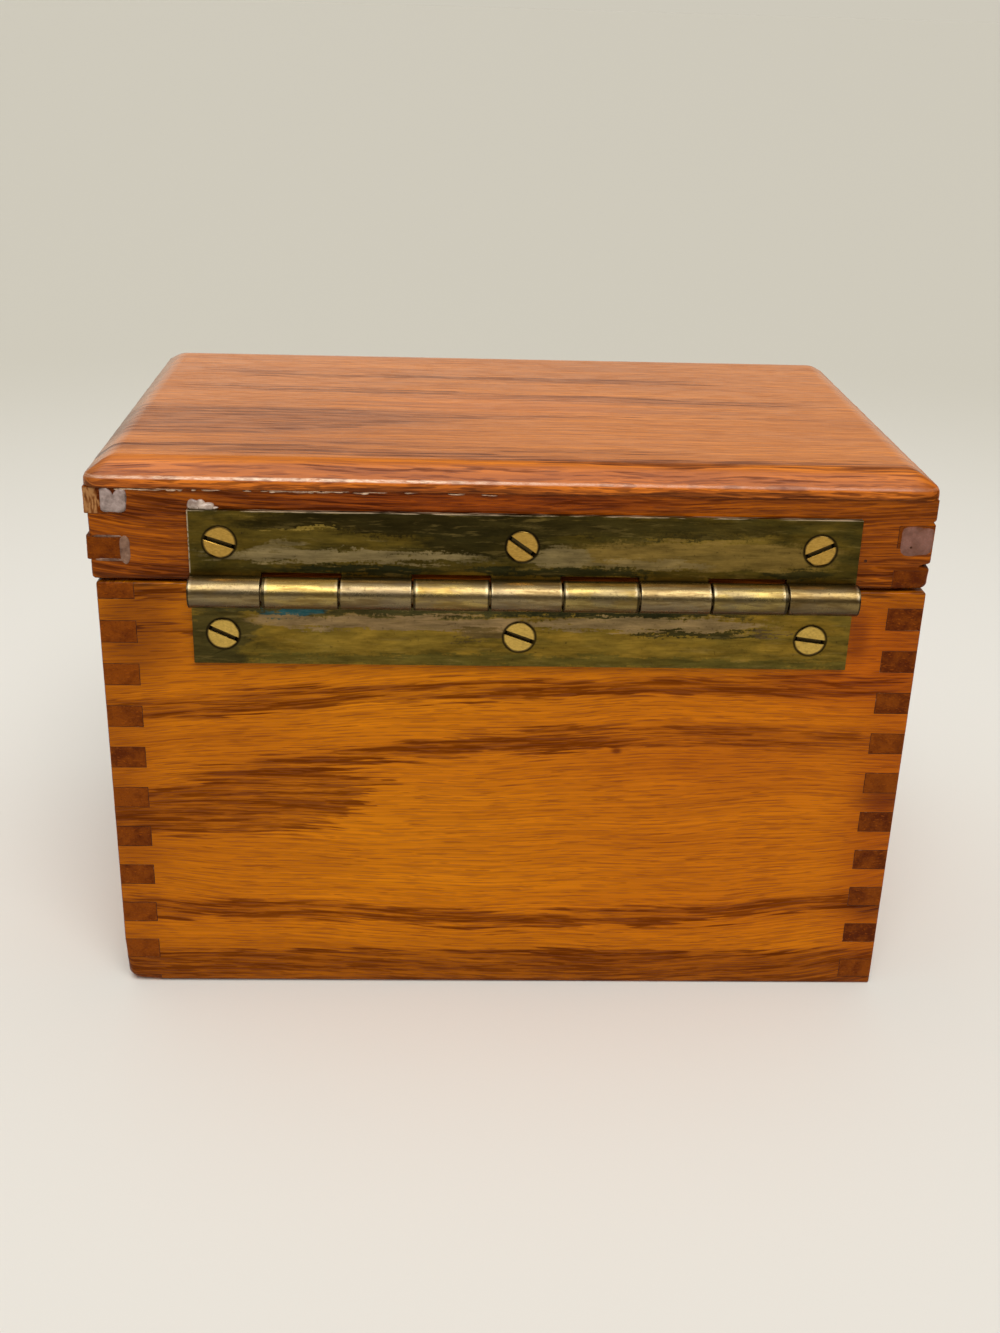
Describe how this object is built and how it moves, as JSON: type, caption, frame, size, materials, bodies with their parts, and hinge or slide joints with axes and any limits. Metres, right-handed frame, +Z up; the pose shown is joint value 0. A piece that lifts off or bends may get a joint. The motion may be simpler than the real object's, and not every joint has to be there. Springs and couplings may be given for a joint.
{
  "type": "recipe card box",
  "caption": "Finger-jointed oak box for recipe cards, with a shallow lid on a brass continuous hinge screwed to the outside of the back.",
  "frame": {"origin": "centre of the wooden underside, in the plane the box stands on", "axes": "+X along the length, to the right seen from the front; +Y towards the hinge at the back; +Z up"},
  "size_m": [0.1448, 0.0979, 0.1023],
  "materials": {
    "oak": "golden brown stained oak under glossy varnish",
    "oak_lid": "redder brown stained oak under glossy varnish",
    "plywood": "bare thin plywood",
    "brass_leaf": "tarnished brass sheet, darker on the lid's leaf",
    "brass_pin": "bare brass wire",
    "brass_screw": "worn brass"
  },
  "bodies": {
    "box": {"back_board": "oak", "front_board": "oak", "left_side": "oak", "right_side": "oak", "bottom_panel": "plywood", "box_hinge_leaf": "brass_leaf", "hinge_pin": "brass_pin", "box_screw_left": "brass_screw", "box_screw_middle": "brass_screw", "box_screw_right": "brass_screw"},
    "lid": {"lid_top": "oak_lid", "lid_back_rail": "oak_lid", "lid_front_rail": "oak_lid", "lid_left_rail": "oak_lid", "lid_right_rail": "oak_lid", "lid_hinge_leaf": "brass_leaf", "lid_screw_left": "brass_screw", "lid_screw_middle": "brass_screw", "lid_screw_right": "brass_screw"}
  },
  "joints": [
    {"name": "lid_hinge", "type": "hinge", "parent": "box", "child": "lid", "pos_m": [0, 0.0488, 0.08095], "axis": [-1, 0, 0], "range_deg": [0, 180]}
  ]
}
